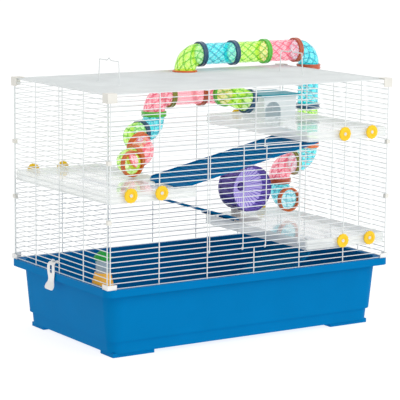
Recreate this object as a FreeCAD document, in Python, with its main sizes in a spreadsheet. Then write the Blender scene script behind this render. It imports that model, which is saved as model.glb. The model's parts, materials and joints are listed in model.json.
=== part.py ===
import FreeCAD, Part
import math
import os

# A large three-storey hamster cage: a blue drafted tray, five welded wire panels held together
# at the corners, a drop-down front door, three clear trays joined by ramps, a nest box, a running
# wheel, a dry feeder and a play tunnel of clip-together tube that leaves through the roof, runs
# over it, drops down the outside and comes back in through the right-hand panel.
# Millimetres. +X right, +Y to the back, +Z up; the origin is under the middle of the tray.

Vector = FreeCAD.Vector
Rotation = FreeCAD.Rotation
Placement = FreeCAD.Placement

SIZES = {
    "tray_length": 800,
    "tray_width": 462,
    "tray_height": 165,
    "tray_wall": 2.5,
    "rim_band": 17,
    "rim_overhang": 15,
    "step_height": 38,
    "step_inset": 4,
    "foot_height": 9,
    "draft_angle": 5.4,
    "wire_radius": 1.0,
    "upright_radius": 1.2,
    "wire_pitch": 12.1,
    "roof_pitch": 12,
    "door_wire_radius": 1.1,
    "handle_radius": 1.4,
    "tube_radius": 27,
    "tube_wall": 1.6,
    "collar_radius": 31.5,
    "collar_bore": 27.15,
    "collar_length": 13,
    "elbow_leg": 44,
    "top_pitch": 97.5,
    "drop_pitch": 102.5,
    "shelf_length": 236,
    "shelf_depth": 440,
    "shelf_height": 24,
    "shelf_wall": 2.5,
    "upper_floor": 479,
    "middle_floor": 373,
    "lower_floor": 220,
    "ramp_length": 404,
    "tray_ramp_length": 322,
    "ramp_width": 160,
    "ramp_thickness": 3,
    "hook_radius": 1.2,
    "knob_radius": 17,
    "knob_thickness": 5,
    "wheel_radius": 59,
    "wheel_width": 66,
    "house_length": 118,
    "house_depth": 108,
    "house_height": 62,
    "feeder_height": 216,
}

doc = FreeCAD.newDocument("hamster_cage")
sheet = doc.addObject("Spreadsheet::Sheet", "Dims")
for row, (alias, value) in enumerate(SIZES.items(), start=1):
    sheet.set("A%d" % row, alias)
    sheet.set("B%d" % row, str(value))
    sheet.setAlias("B%d" % row, alias)
doc.recompute()


def size(alias):
    """The sheet's value of one driving size."""
    return float(sheet.get(alias))


# Planes shared by several pieces.
RIM_TOP = size("tray_height")
CAGE_BOTTOM = RIM_TOP + 0.3
FIRST_ROW = RIM_TOP + 1.5
PITCH = size("wire_pitch")
ROWS = 37
UPRIGHT_TOP = 602.6
ROOF_WIRE_Z = 602.0
ROOF_BAR_Z = 600.3
# The long panels carry their uprights outside their rows; so do the short ones.
LONG_UPRIGHT_Y = 224.8
LONG_ROW_Y = 223.0
SHORT_UPRIGHT_X = 393.8
SHORT_ROW_X = 392.0
LONG_UPRIGHTS = [-388.8, -260.7, -130.3, 0, 130.3, 260.7, 388.8]
SHORT_UPRIGHTS = [-219.7, -113, 0, 113, 219.7]
DOOR_HINGE_ROW = 5
DOOR_TOP_ROW = 24
DOOR_HALF = LONG_UPRIGHTS[4]


def row_z(k):
    """Height of the k-th horizontal wire of the upright panels."""
    return FIRST_ROW + PITCH * k


# ---------------------------------------------------------------- small helpers

def bind(obj, **sizes):
    """Bind properties of obj to expressions on the sheet."""
    for prop, expression in sizes.items():
        obj.setExpression(prop, expression)
    return obj


def turned(z_axis, x_axis=None):
    """The rotation that carries +Z onto z_axis and, if given, +X towards x_axis."""
    z_dir = Vector(*z_axis)
    z_dir.normalize()
    if x_axis is None:
        return Rotation(Vector(0, 0, 1), z_dir)
    x_dir = Vector(*x_axis)
    x_dir = x_dir - z_dir * x_dir.dot(z_dir)
    x_dir.normalize()
    y_dir = z_dir.cross(x_dir)
    return Rotation(x_dir, y_dir, z_dir, "ZXY")


def cylinder(name, radius, height, base, axis=(0, 0, 1)):
    """A Part cylinder; radius and height are numbers or sheet expressions."""
    obj = doc.addObject("Part::Cylinder", name)
    for prop, value in (("Radius", radius), ("Height", height)):
        if isinstance(value, str):
            obj.setExpression(prop, value)
        else:
            setattr(obj, prop, value)
    obj.Placement = Placement(Vector(*base), turned(axis))
    return obj


def box(name, low, high):
    """A Part box between two opposite corners."""
    obj = doc.addObject("Part::Box", name)
    obj.Length, obj.Width, obj.Height = [b - a for a, b in zip(low, high)]
    obj.Placement.Base = Vector(*low)
    return obj


def torus(name, major, minor, centre, axis=(0, 0, 1), sweep=360):
    """A Part torus, or the stretch of one that turns through sweep degrees."""
    obj = doc.addObject("Part::Torus", name)
    obj.Radius1 = major
    if isinstance(minor, str):
        obj.setExpression("Radius2", minor)
    else:
        obj.Radius2 = minor
    obj.Angle3 = sweep
    obj.Placement = Placement(Vector(*centre), turned(axis))
    return obj


def rod(name, start, end, radius):
    """A round wire between two points."""
    run = Vector(*end) - Vector(*start)
    return cylinder(name, radius, run.Length, start, tuple(run))


def ball(name, centre, radius):
    """A sphere that rounds a wire's corner."""
    obj = doc.addObject("Part::Sphere", name)
    bind(obj, Radius=radius)
    obj.Placement.Base = Vector(*centre)
    return obj


def fuse(name, pieces):
    """One solid from several overlapping ones."""
    obj = doc.addObject("Part::MultiFuse", name)
    obj.Shapes = pieces
    return obj


def cut(name, base, tools):
    """Base with the tools taken out of it."""
    tool = tools[0] if len(tools) == 1 else fuse(name + "_tools", tools)
    obj = doc.addObject("Part::Cut", name)
    obj.Base = base
    obj.Tool = tool
    return obj


def group(name, pieces):
    """Several separate solids kept under one name."""
    obj = doc.addObject("Part::Compound", name)
    obj.Links = pieces
    return obj


def copy_of(master, name, base, rotation=None):
    """The same moulded part again, somewhere else."""
    obj = group(name, [master])
    obj.Placement = Placement(Vector(*base), rotation or Rotation())
    return obj


NODES = []


def node(obj, label):
    """Name a finished piece; the name is also its file's."""
    obj.Label = label
    NODES.append(obj)
    return obj


# ---------------------------------------------------------------- the tray

def rounded_outline(sketch, half_x, half_y, radius):
    """Draw a rounded rectangle about the sketch's origin."""
    straight_x = half_x - radius
    straight_y = half_y - radius
    sides = [
        ((-straight_x, -half_y), (straight_x, -half_y)),
        ((half_x, -straight_y), (half_x, straight_y)),
        ((straight_x, half_y), (-straight_x, half_y)),
        ((-half_x, straight_y), (-half_x, -straight_y)),
    ]
    for (x1, y1), (x2, y2) in sides:
        sketch.addGeometry(Part.LineSegment(Vector(x1, y1, 0), Vector(x2, y2, 0)))
    corners = [(1, -1, -90), (1, 1, 0), (-1, 1, 90), (-1, -1, 180)]
    for sign_x, sign_y, start in corners:
        circle = Part.Circle(Vector(sign_x * straight_x, sign_y * straight_y, 0), Vector(0, 0, 1), radius)
        arc = Part.ArcOfCircle(circle, math.radians(start), math.radians(start + 90))
        sketch.addGeometry(arc)


def body_sketch(body, name, height):
    """A sketch on the body's own XY plane, raised to a height given as a sheet expression."""
    sketch = body.newObject("Sketcher::SketchObject", name)
    plane = [f for f in body.Origin.OriginFeatures if f.Role == "XY_Plane"][0]
    sketch.AttachmentSupport = [(plane, "")]
    sketch.MapMode = "FlatFace"
    sketch.setExpression("AttachmentOffset.Base.z", height)
    return sketch


def tray_ring(body, name, height, half_x, half_y, radius):
    """A sketch holding one rounded rectangle."""
    sketch = body_sketch(body, name, height)
    rounded_outline(sketch, half_x, half_y, radius)
    return sketch


def make_tray():
    """A drafted tub with a stepped foot band, moulded feet and a deep rolled rim."""
    body = doc.addObject("PartDesign::Body", "TrayBody")
    half_x = size("tray_length") / 2
    half_y = size("tray_width") / 2
    draft = math.tan(math.radians(size("draft_angle")))
    wall = size("tray_wall")
    step = size("step_height")
    foot = size("foot_height")
    wall_x = half_x - size("rim_overhang")
    wall_y = half_y - size("rim_overhang")
    shrink = (RIM_TOP - step) * draft
    step_x = wall_x - shrink
    step_y = wall_y - shrink
    low_x = step_x - size("step_inset") - (step - foot) * draft
    low_y = step_y - size("step_inset") - (step - foot) * draft

    band = body.newObject("PartDesign::Pad", "FootBand")
    band.Profile = tray_ring(body, "FootBandOutline", "Dims.foot_height", low_x, low_y, 26)
    bind(band, Length="Dims.step_height - Dims.foot_height + 1", TaperAngle="Dims.draft_angle")
    walls = body.newObject("PartDesign::Pad", "Walls")
    walls.Profile = tray_ring(body, "WallOutline", "Dims.step_height", step_x, step_y, 26)
    bind(walls, Length="Dims.tray_height - Dims.step_height", TaperAngle="Dims.draft_angle")
    rim = body.newObject("PartDesign::Pad", "Rim")
    rim.Profile = tray_ring(body, "RimOutline", "Dims.tray_height - Dims.rim_band", half_x, half_y, 20)
    bind(rim, Length="Dims.rim_band")
    doc.recompute()

    tub = body.newObject("PartDesign::Pocket", "TubPocket")
    tub.Profile = tray_ring(body, "TubOutline", "Dims.step_height + Dims.tray_wall", step_x - wall, step_y - wall, 23.5)
    bind(tub, Length="Dims.tray_height - Dims.step_height - Dims.tray_wall + 2", TaperAngle="Dims.draft_angle")
    tub.Reversed = True
    well = body.newObject("PartDesign::Pocket", "WellPocket")
    well.Profile = tray_ring(body, "WellOutline", "Dims.foot_height + Dims.tray_wall", low_x - wall, low_y - wall, 23.5)
    bind(well, Length="Dims.step_height - Dims.foot_height + 1", TaperAngle="Dims.draft_angle")
    well.Reversed = True
    doc.recompute()

    groove_sketch = body_sketch(body, "RimGrooveOutline", "Dims.tray_height - Dims.rim_band")
    rounded_outline(groove_sketch, half_x - wall, half_y - wall, 17.5)
    rounded_outline(groove_sketch, wall_x + 1.2, wall_y + 1.2, 26)
    groove = body.newObject("PartDesign::Pocket", "RimGroove")
    groove.Profile = groove_sketch
    bind(groove, Length="Dims.rim_band - Dims.tray_wall")
    groove.Reversed = True
    doc.recompute()

    feet_sketch = body_sketch(body, "FeetOutline", "0 * Dims.foot_height")
    foot_length = 110
    foot_width = 57
    pads = [(0, 0, 70, 70)]
    for sign_x in (-1, 1):
        for sign_y in (-1, 1):
            centre_x = sign_x * (low_x - 4 - foot_length / 2)
            centre_y = sign_y * (low_y - 4 - foot_width / 2)
            pads.append((centre_x, centre_y, foot_length, foot_width))
    for centre_x, centre_y, length, width in pads:
        corners = [(-1, -1), (1, -1), (1, 1), (-1, 1)]
        points = [Vector(centre_x + i * length / 2, centre_y + j * width / 2, 0) for i, j in corners]
        for k in range(4):
            feet_sketch.addGeometry(Part.LineSegment(points[k], points[(k + 1) % 4]))
    feet = body.newObject("PartDesign::Pad", "Feet")
    feet.Profile = feet_sketch
    bind(feet, Length="Dims.foot_height + 1")
    body.Tip = feet
    doc.recompute()
    return body


# ---------------------------------------------------------------- wire panels

def row_pieces(name, k, spans, place):
    """One horizontal wire of a panel, in one or more straight lengths."""
    return [rod("%s_row%d_%d" % (name, k, j), place(a), place(b), "Dims.wire_radius")
            for j, (a, b) in enumerate(spans)]


def long_panel(name, side, with_door):
    """Front or back panel: rows of thin wire welded behind seven uprights."""
    pieces = []
    for k in range(ROWS):
        z = row_z(k)
        spans = [(-389.6, 389.6)]
        if with_door and DOOR_HINGE_ROW < k < DOOR_TOP_ROW:
            spans = [(-389.6, -DOOR_HALF - 0.2), (DOOR_HALF + 0.2, 389.6)]
        pieces += row_pieces(name, k, spans, lambda x: (x, side * LONG_ROW_Y, z))
    for i, x in enumerate(LONG_UPRIGHTS):
        lengths = [(CAGE_BOTTOM, UPRIGHT_TOP)]
        if with_door and i == 3:
            lengths = [(CAGE_BOTTOM, row_z(DOOR_HINGE_ROW) + 0.8), (row_z(DOOR_TOP_ROW) - 0.8, UPRIGHT_TOP)]
        for j, (z1, z2) in enumerate(lengths):
            start = (x, side * LONG_UPRIGHT_Y, z1)
            pieces.append(cylinder("%s_up%d_%d" % (name, i, j), "Dims.upright_radius", z2 - z1, start))
    return fuse(name, pieces)


def around_port(low, high, offset, middle, reach):
    """The straight lengths of a wire that is interrupted by a round port."""
    if abs(offset) >= reach:
        return [(low, high)]
    half_gap = math.sqrt(reach * reach - offset * offset)
    return [(low, middle - half_gap), (middle + half_gap, high)]


PORT_RING = 32.7


def short_panel(name, side, port=None):
    """Left or right panel; a port is the (y, z) of a round hole with a wire ring about it."""
    pieces = []
    x = side * SHORT_ROW_X
    for k in range(ROWS):
        z = row_z(k)
        spans = [(-220.5, 220.5)]
        if port:
            spans = around_port(-220.5, 220.5, z - port[1], port[0], PORT_RING)
        pieces += row_pieces(name, k, spans, lambda y: (x, y, z))
    for i, y in enumerate(SHORT_UPRIGHTS):
        start = (side * SHORT_UPRIGHT_X, y, CAGE_BOTTOM)
        pieces.append(cylinder("%s_up%d" % (name, i), "Dims.upright_radius", UPRIGHT_TOP - CAGE_BOTTOM, start))
    if port:
        pieces.append(torus(name + "_ring", PORT_RING, "Dims.wire_radius", (x, port[0], port[1]), (1, 0, 0)))
    return fuse(name, pieces)


def roof_panel(name, port):
    """The roof: close-set wires along the cage over seven cross bars, with a ringed port."""
    pieces = []
    count = 36
    for j in range(count):
        y = (j - (count - 1) / 2) * size("roof_pitch")
        spans = around_port(-389.6, 389.6, y - port[1], port[0], PORT_RING)
        pieces += row_pieces(name, j, spans, lambda x: (x, y, ROOF_WIRE_Z))
    for i, x in enumerate(LONG_UPRIGHTS):
        pieces.append(cylinder("%s_bar%d" % (name, i), "Dims.upright_radius", 442, (x, -221, ROOF_BAR_Z), (0, 1, 0)))
    pieces.append(torus(name + "_ring", PORT_RING, "Dims.wire_radius", (port[0], port[1], ROOF_WIRE_Z)))
    return fuse(name, pieces)


def corner_caps(name, low_z, high_z, reach, open_top):
    """Four plastic corner pieces, each an angle that wraps the ends of two panels."""
    caps = []
    wall = 2.2
    outer_x = 397.6
    outer_y = 228.6
    roof = 0 if open_top else wall
    for k, (sx, sy) in enumerate(((-1, -1), (1, -1), (1, 1), (-1, 1))):
        xs = sorted((sx * outer_x, sx * (outer_x - reach)))
        ys = sorted((sy * outer_y, sy * (outer_y - reach)))
        shell = box("%s_shell%d" % (name, k), (xs[0], ys[0], low_z), (xs[1], ys[1], high_z))
        xi = sorted((sx * (outer_x - wall), sx * (outer_x - reach - 1)))
        yi = sorted((sy * (outer_y - wall), sy * (outer_y - reach - 1)))
        hollow = box("%s_hollow%d" % (name, k), (xi[0], yi[0], low_z - 1), (xi[1], yi[1], high_z - roof + (1 if open_top else 0)))
        caps.append(cut("%s_%d" % (name, k), shell, [hollow]))
    return group(name, caps)


def edge_clips(name):
    """Eight small clips, two on every upright edge, that tie neighbouring panels together."""
    margin = 2.2
    half_height = 4.5
    clips = []
    for sx in (-1, 1):
        for sy in (-1, 1):
            for row in (12, 23):
                tag = "%s_%d" % (name, len(clips))
                level = row_z(row) + PITCH / 2
                posts = [(sx * LONG_UPRIGHTS[6], sy * LONG_UPRIGHT_Y), (sx * SHORT_UPRIGHT_X, sy * SHORT_UPRIGHTS[4])]
                low = [min(p[i] for p in posts) - margin for i in (0, 1)]
                high = [max(p[i] for p in posts) + margin for i in (0, 1)]
                block = box(tag + "_block", (*low, level - half_height), (*high, level + half_height))
                bores = [cylinder("%s_bore%d" % (tag, i), "Dims.upright_radius + 0.05", 20, (*p, level - 10))
                         for i, p in enumerate(posts)]
                clips.append(cut(tag, block, bores))
    return group(name, clips)


def front_door(name):
    """A wire door whose four uprights curl round the wire below the opening, so it drops down."""
    hinge_z = row_z(DOOR_HINGE_ROW)
    upright_y = -LONG_ROW_Y - 2.6
    top_z = row_z(DOOR_TOP_ROW) + 10
    uprights = [-125, -32, 32, 127]
    pieces = []
    for i, x in enumerate(uprights):
        start = (x, upright_y, hinge_z)
        pieces.append(cylinder("%s_up%d" % (name, i), "Dims.door_wire_radius", top_z - hinge_z, start))
        eye = torus("%s_eye%d" % (name, i), 2.6, "Dims.door_wire_radius - 0.1", (x, -LONG_ROW_Y, hinge_z), (1, 0, 0))
        pieces.append(eye)
    for j in range(1, DOOR_TOP_ROW - DOOR_HINGE_ROW):
        z = hinge_z + PITCH * j
        pieces.append(cylinder("%s_row%d" % (name, j), "Dims.wire_radius", 253, (-126, upright_y + 1.7, z), (1, 0, 0)))
    pieces.append(cylinder(name + "_top", "Dims.door_wire_radius", 253, (-126, upright_y - 2.0, top_z - 1.5), (1, 0, 0)))
    return fuse(name, pieces)


def door_latch(name):
    """A bent-wire latch that swings on the door's top wire and lies over the panel's next wires."""
    x = 25
    eye_z = row_z(DOOR_TOP_ROW) + 8.5
    eye_y = -LONG_ROW_Y - 2.6 - 2.0
    top = eye_z + 17
    front = eye_y - 0.4
    pieces = [
        torus(name + "_eye", 2.7, "Dims.door_wire_radius", (x, eye_y, eye_z), (1, 0, 0)),
        rod(name + "_leg", (x, front, eye_z + 2.5), (x, front, top - 3), "Dims.door_wire_radius"),
        ball(name + "_bend", (x, front, top - 3), "Dims.door_wire_radius"),
        rod(name + "_thumb", (x, front, top - 3), (x + 10, front, top), "Dims.door_wire_radius"),
        ball(name + "_tip", (x + 10, front, top), "Dims.door_wire_radius"),
    ]
    return fuse(name, pieces)


BASE_CLIP_Y = 22


def base_clip(name, side):
    """A white side clip: two eyes on a row wire, a slotted plate over the tray's rim, a thumb tab."""
    hinge_z = row_z(2)
    hinge_x = side * SHORT_ROW_X
    inner = side * 401.5
    outer = side * 404.0
    low_x, high_x = sorted((inner, outer))
    plate = box(name + "_plate", (low_x, BASE_CLIP_Y - 19, 140), (high_x, BASE_CLIP_Y + 19, hinge_z - 2))
    slot = box(name + "_slot", (low_x - 1, BASE_CLIP_Y - 4, 168), (high_x + 1, BASE_CLIP_Y + 4, 182))
    pieces = [plate]
    for j, offset in enumerate((-11, 11)):
        y = BASE_CLIP_Y + offset
        eye = cylinder("%s_eye%d" % (name, j), 3.4, 8, (hinge_x, y - 4, hinge_z), (0, 1, 0))
        arm_x = sorted((side * 394.0, outer))
        arm = box("%s_arm%d" % (name, j), (arm_x[0], y - 4, hinge_z - 3.2), (arm_x[1], y + 4, hinge_z - 0.6))
        pieces += [eye, arm]
    tab = box(name + "_tab", (0, -26, -20), (2.5, 26, 0))
    flare = Placement(Vector(low_x, BASE_CLIP_Y, 142), Rotation(Vector(0, 1, 0), -side * 24))
    tab.Placement = flare.multiply(tab.Placement)
    pieces.append(tab)
    bore = cylinder(name + "_bore", "Dims.wire_radius + 0.5", 60, (hinge_x, BASE_CLIP_Y - 30, hinge_z), (0, 1, 0))
    return cut(name, fuse(name + "_whole", pieces), [slot, bore])


def carry_handle(name, side):
    """A folding wire handle on one of the roof's cross bars, with a small hump mid-span."""
    x = LONG_UPRIGHTS[3 + 2 * side]
    reach = 4 * size("roof_pitch")
    eye_major = 2.9
    foot_z = ROOF_BAR_Z + eye_major
    top_z = ROOF_BAR_Z + 56
    points = [(x, reach, foot_z), (x, reach - 4, top_z), (x, 9, top_z), (x, 0, top_z + 6),
              (x, -9, top_z), (x, 4 - reach, top_z), (x, -reach, foot_z)]
    pieces = []
    for j, (a, b) in enumerate(zip(points, points[1:])):
        pieces.append(rod("%s_run%d" % (name, j), a, b, "Dims.handle_radius"))
        if j:
            pieces.append(ball("%s_bend%d" % (name, j), a, "Dims.handle_radius"))
    for j, y in enumerate((-reach, reach)):
        pieces.append(torus("%s_eye%d" % (name, j), eye_major, "Dims.handle_radius", (x, y, ROOF_BAR_Z), (0, 1, 0)))
    return fuse(name, pieces)


# ---------------------------------------------------------------- shelves, knobs and ramps

SHELF_SIDES = {"upper": 1, "middle": -1, "lower": 1}
RIM_RISE = 8.0
# Each knob's screw has to pass between two wires, so its height is set by the gap it uses.
KNOB_GAPS = {"upper": (25, 2.85), "middle": (17, -2.85), "lower": (4, -1.45)}
SCREW_RADIUS = 1.8
# Each ramp: the shelf it hangs under, x of its upper end, slope in degrees and y of its middle.
RAMPS = {
    "upper_ramp": ("upper", 203, 12.0, -135),
    "middle_ramp": ("middle", -227, 17.0, 135),
    "lower_ramp": ("lower", 200, 34.6, -113),
}
RAMP_FOOT = 4.6
HOOK_HOLE = 3.0
HOOK_BACK = 9
HOOK_SPREAD = 52


def shelf_middle(level):
    """The x of a shelf's middle: each one stops just short of its end panel."""
    return SHELF_SIDES[level] * (390.5 - size("shelf_length") / 2)


def floor_z(level):
    """Top of a shelf's floor."""
    return size(level + "_floor")


def rim_z(level):
    """Top of a shelf's lip."""
    return floor_z(level) + RIM_RISE


def knob_places(level):
    """Where a shelf's four screw knobs sit: x, side of the cage and height."""
    middle = SHELF_SIDES[level] * 297.5
    row, offset = KNOB_GAPS[level]
    z = row_z(row) + PITCH / 2 + offset
    return [(middle + dx, side, z) for side in (-1, 1) for dx in (-40.5, 40.5)]


def make_shelf(level):
    """A moulded tray: thin floor, raised lip and a deeper skirt all round."""
    name = level + "_shelf"
    half_x = size("shelf_length") / 2
    half_y = size("shelf_depth") / 2
    wall = size("shelf_wall")
    x = shelf_middle(level)
    top = rim_z(level)
    bottom = top - size("shelf_height")
    block = doc.addObject("Part::Box", name + "_block")
    bind(block, Length="Dims.shelf_length", Width="Dims.shelf_depth", Height="Dims.shelf_height")
    block.Placement.Base = Vector(x - half_x, -half_y, bottom)
    rounded = doc.addObject("Part::Fillet", name + "_rounded")
    rounded.Base = block
    doc.recompute()
    upright = [i + 1 for i, e in enumerate(block.Shape.Edges)
               if abs(e.Vertexes[0].Point.z - e.Vertexes[1].Point.z) > 1]
    rounded.Edges = [(i, 6.0, 6.0) for i in upright]
    inset = (x - half_x + wall, -half_y + wall), (x + half_x - wall, half_y - wall)
    above = box(name + "_above", (*inset[0], floor_z(level)), (*inset[1], top + 1))
    below = box(name + "_below", (*inset[0], bottom - 1), (*inset[1], floor_z(level) - wall))
    holes = [cylinder("%s_hole%d" % (name, k), SCREW_RADIUS + 0.2, wall + 1, (kx, side * (half_y - wall), kz), (0, side, 0))
             for k, (kx, side, kz) in enumerate(knob_places(level))]
    holes += [cylinder("%s_wire_hole%d" % (name, k), size("hook_radius") + 0.4, wall + 2, (hx, hy, floor_z(level) - wall - 1))
              for k, (hx, hy, _) in enumerate(hook_places(level)[1])]
    return cut(name, rounded, [above, below] + holes)


def make_knobs(level):
    """Four round yellow knobs outside the long panels."""
    knobs = []
    for k, (x, side, z) in enumerate(knob_places(level)):
        tag = "%s_knob%d" % (level, k)
        start = (x, side * 226.3, z)
        disc = cylinder(tag + "_disc", "Dims.knob_radius", "Dims.knob_thickness", start, (0, side, 0))
        hole = cylinder(tag + "_hole", SCREW_RADIUS + 0.2, 20, (x, side * 220, z), (0, side, 0))
        recess = cylinder(tag + "_recess", 8.0, 10, (x, side * (226.3 + 2.5), z), (0, side, 0))
        knobs.append(cut(tag, disc, [hole, recess]))
    return group(level + "_knobs", knobs)


def make_studs(level):
    """The white studs that pass between two wires from each knob into the shelf's skirt."""
    studs = []
    for k, (x, side, z) in enumerate(knob_places(level)):
        tag = "%s_stud%d" % (level, k)
        shank = cylinder(tag + "_shank", SCREW_RADIUS, 11.2, (x, side * 218.0, z), (0, side, 0))
        head = cylinder(tag + "_head", 6.5, 2.2, (x, side * 229.0, z), (0, side, 0))
        socket = cylinder(tag + "_socket", 2.0, 3, (x, side * 230.2, z), (0, side, 0))
        studs.append(cut(tag, fuse(tag + "_solid", [shank, head]), [socket]))
    return group(level + "_studs", studs)


def shelf_edge():
    """Distance of every shelf's free edge from the middle of the cage."""
    return 390.5 - size("shelf_length")


def tray_floor():
    """Top of the tray's floor."""
    return size("foot_height") + size("tray_wall")


def make_ramp(name, length_alias, with_feet):
    """A ramp along -X: a board with rounded corners, side lips, rungs and two wire holes."""
    length = size(length_alias)
    half = size("ramp_width") / 2
    thick = size("ramp_thickness")
    blank = doc.addObject("Part::Box", name + "_blank")
    bind(blank, Length="Dims." + length_alias, Width="Dims.ramp_width", Height="Dims.ramp_thickness + 3")
    blank.Placement.Base = Vector(-length, -half, 0)
    doc.recompute()
    upright = [i + 1 for i, e in enumerate(blank.Shape.Edges)
               if abs(e.Vertexes[0].Point.z - e.Vertexes[1].Point.z) > 1]
    board = doc.addObject("Part::Fillet", name + "_board")
    board.Base = blank
    board.Edges = [(i, 24.0, 24.0) for i in upright]
    tread = box(name + "_tread", (-length - 1, 2.5 - half, thick), (1, half - 2.5, thick + 4))
    pieces = [cut(name + "_channel", board, [tread])]
    rungs = round((length - 56) / 15)
    for k in range(rungs):
        x = -length + 28 + k * (length - 56) / (rungs - 1)
        pieces.append(box("%s_rung%d" % (name, k), (x - 1.2, 2 - half, 1), (x + 1.2, half - 2, thick + 1.2)))
    if with_feet:
        for k, y in enumerate((-40, 40)):
            foot = box("%s_foot%d" % (name, k), (-length + 1, y - 4, -RAMP_FOOT), (-length + 44, y + 4, 1))
            pieces.append(foot)
    holes = [cylinder("%s_hole%d" % (name, k), HOOK_HOLE, 20, (-HOOK_BACK, y, -10))
             for k, y in enumerate((-HOOK_SPREAD, HOOK_SPREAD))]
    return cut(name, fuse(name + "_whole", pieces), holes)


def ramp_top(name):
    """Height of a ramp's upper end, so that its lower end rests on the lip or floor below."""
    level, top_x, slope, _ = RAMPS[name]
    angle = math.radians(slope)
    if level == "lower":
        return tray_floor() + 0.3 + size("tray_ramp_length") * math.sin(angle)
    below = "middle" if level == "upper" else "lower"
    run = abs(top_x) + shelf_edge() + size("shelf_wall")
    return rim_z(below) + 0.2 + RAMP_FOOT / math.cos(angle) + run * math.tan(angle)


def place_ramp(master, name):
    """A ramp under its shelf, falling towards the middle of the cage."""
    level, top_x, slope, y = RAMPS[name]
    rotation = Rotation(Vector(0, 1, 0), -slope)
    if SHELF_SIDES[level] < 0:
        rotation = Rotation(Vector(0, 0, 1), 180).multiply(rotation)
    return copy_of(master, name, (top_x, y, ramp_top(name)), rotation)


def hook_places(level):
    """The wires that hang a ramp under a shelf: x, y and which way the fingers point."""
    name = next(ramp for ramp in RAMPS if RAMPS[ramp][0] == level)
    _, top_x, slope, y = RAMPS[name]
    angle = math.radians(slope)
    back = HOOK_BACK * math.cos(angle) + size("ramp_thickness") / 2 * math.sin(angle)
    x = top_x - SHELF_SIDES[level] * back
    return name, [(x, y + sign * HOOK_SPREAD, sign) for sign in (-1, 1)]


def make_hooks():
    """Bent wires, each with a finger on a shelf's floor, a shank and a finger under the ramp."""
    hooks = []
    for level in SHELF_SIDES:
        name, places = hook_places(level)
        _, top_x, slope, _ = RAMPS[name]
        top = floor_z(level) + size("hook_radius") + 0.1
        for k, (x, y, sign) in enumerate(places):
            low = ramp_top(name) - abs(x - top_x) * math.tan(math.radians(slope)) - size("hook_radius") - 0.4
            tag = "%s_hook%d" % (name, k)
            shank = rod(tag + "_shank", (x, y, low), (x, y, top), "Dims.hook_radius")
            ends = [rod("%s_finger%d" % (tag, j), (x, y, z), (x, y + sign * 8, z), "Dims.hook_radius")
                    for j, z in enumerate((low, top))]
            bends = [ball("%s_bend%d" % (tag, j), (x, y, z), "Dims.hook_radius")
                     for j, z in enumerate((low, top))]
            hooks.append(fuse(tag, [shank] + ends + bends))
    return group("ramp_hooks", hooks)


# ---------------------------------------------------------------- nest box, wheel and feeder

HOUSE_LEFT = 239
HOUSE_FRONT = 92


def house_body(name):
    """The nest box: thin tapering walls with an arched doorway and small side windows."""
    floor = floor_z("upper")
    height = size("house_height") - 6
    low_x = HOUSE_LEFT + 9
    high_x = HOUSE_LEFT + size("house_length") - 7
    low_y = HOUSE_FRONT + 5
    high_y = HOUSE_FRONT + size("house_depth") - 5
    taper = 5
    wall = 2

    def tapered(tag, inset, z1, z2):
        wedge = doc.addObject("Part::Wedge", tag)
        wedge.Xmin, wedge.Xmax = low_x + taper + inset, high_x - taper - inset
        wedge.X2min, wedge.X2max = low_x + inset, high_x - inset
        wedge.Zmin, wedge.Zmax = -high_y + inset, -low_y - inset
        wedge.Z2min, wedge.Z2max = -high_y + inset, -low_y - inset
        wedge.Ymin, wedge.Ymax = z1, z2
        wedge.Placement.Rotation = Rotation(Vector(1, 0, 0), 90)
        return wedge

    outer = tapered(name + "_outer", 0, floor, floor + height)
    inner = tapered(name + "_inner", wall, floor + 2, floor + height + 1)
    door_x = HOUSE_LEFT + 38
    door_half = 24
    spring = floor + 20
    through = (low_y - 5, low_y + 8)
    opening = box(name + "_doorway", (door_x - door_half, through[0], floor + 2), (door_x + door_half, through[1], spring))
    arch = cylinder(name + "_arch", door_half, through[1] - through[0], (door_x, through[0], spring), (0, 1, 0))
    window = cylinder(name + "_window", 11, 200, (low_x - 40, (low_y + high_y) / 2, floor + 28), (1, 0, 0))
    hollow = cut(name + "_hollow", outer, [inner])
    return cut(name, hollow, [fuse(name + "_arched", [opening, arch]), window])


def house_roof(name):
    """A flat lift-off roof with a locating lip inside the walls."""
    top = floor_z("upper") + size("house_height")
    slab = doc.addObject("Part::Box", name + "_slab")
    bind(slab, Length="Dims.house_length", Width="Dims.house_depth")
    slab.Height = 5.7
    slab.Placement.Base = Vector(HOUSE_LEFT, HOUSE_FRONT, top - 5.7)
    recess = box(name + "_recess", (HOUSE_LEFT + 2.5, HOUSE_FRONT + 2.5, top - 7),
                 (HOUSE_LEFT + size("house_length") - 2.5, HOUSE_FRONT + size("house_depth") - 2.5, top - 2.5))
    land = box(name + "_land", (HOUSE_LEFT + 14, HOUSE_FRONT + 12, top - 5.7),
               (HOUSE_LEFT + size("house_length") - 14, HOUSE_FRONT + size("house_depth") - 12, top - 1))
    return fuse(name, [cut(name + "_tray", slab, [recess]), land])


WHEEL_X = 209
WHEEL_Z = 306
WHEEL_FRONT = 87


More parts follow.
